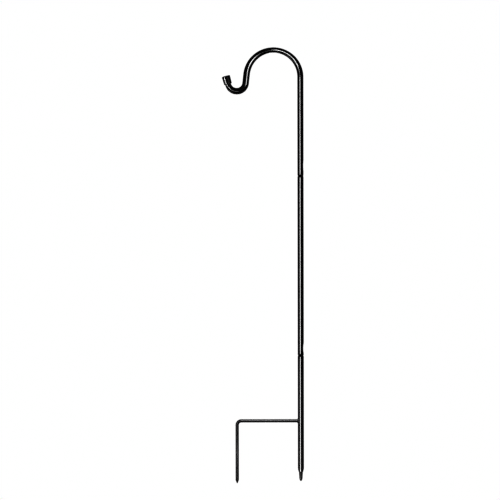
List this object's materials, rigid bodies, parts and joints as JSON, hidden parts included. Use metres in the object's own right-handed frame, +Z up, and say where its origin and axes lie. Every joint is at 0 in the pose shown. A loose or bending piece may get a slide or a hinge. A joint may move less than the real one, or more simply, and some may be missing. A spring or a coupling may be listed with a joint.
{
  "type": "shepherds hook",
  "caption": "Garden pole with a hooked top for hanging a plant pot, in push-together steel tubes, with a step-in prong at its foot.",
  "frame": {"origin": "on the pole's axis at ground level, which is the underside of the step bar", "axes": "+Z up along the pole; the hook and the prong reach towards -X; +Y points away from a viewer who sees the hook on the left"},
  "size_m": [0.2223, 0.0224, 1.1917],
  "materials": {
    "hook_tube": "gloss black coating",
    "middle_tube": "gloss black coating",
    "stake_tube": "gloss black coating, a little dulled towards the point",
    "stake_tip": "thin black coating, satin",
    "step_prong": "satin black coating",
    "weld": "black coating over a weld bead",
    "end_cap": "moulded black, satin",
    "pin": "plated steel"
  },
  "bodies": {
    "stake": {"stake_tube": "stake_tube", "stake_tip": "stake_tip", "step_prong": "step_prong", "crossbar_weld": "weld"},
    "lower_pin": {"lower_pin": "pin"},
    "middle": {"middle_tube": "middle_tube"},
    "upper_pin": {"upper_pin": "pin"},
    "hook": {"hook_tube": "hook_tube", "hook_end_cap": "end_cap"}
  },
  "joints": [
    {"name": "lower_pull", "type": "slide", "parent": "stake", "child": "lower_pin", "axis": [0, 0, 1], "range_m": [0, 0.05]},
    {"name": "middle_turn", "type": "hinge", "parent": "lower_pin", "child": "middle", "pos_m": [0, 0, 0.183], "axis": [0, 0, 1], "continuous": true},
    {"name": "upper_pull", "type": "slide", "parent": "middle", "child": "upper_pin", "axis": [0, 0, 1], "range_m": [0, 0.05]},
    {"name": "hook_turn", "type": "hinge", "parent": "upper_pin", "child": "hook", "pos_m": [0, 0, 0.674], "axis": [0, 0, 1], "continuous": true}
  ]
}
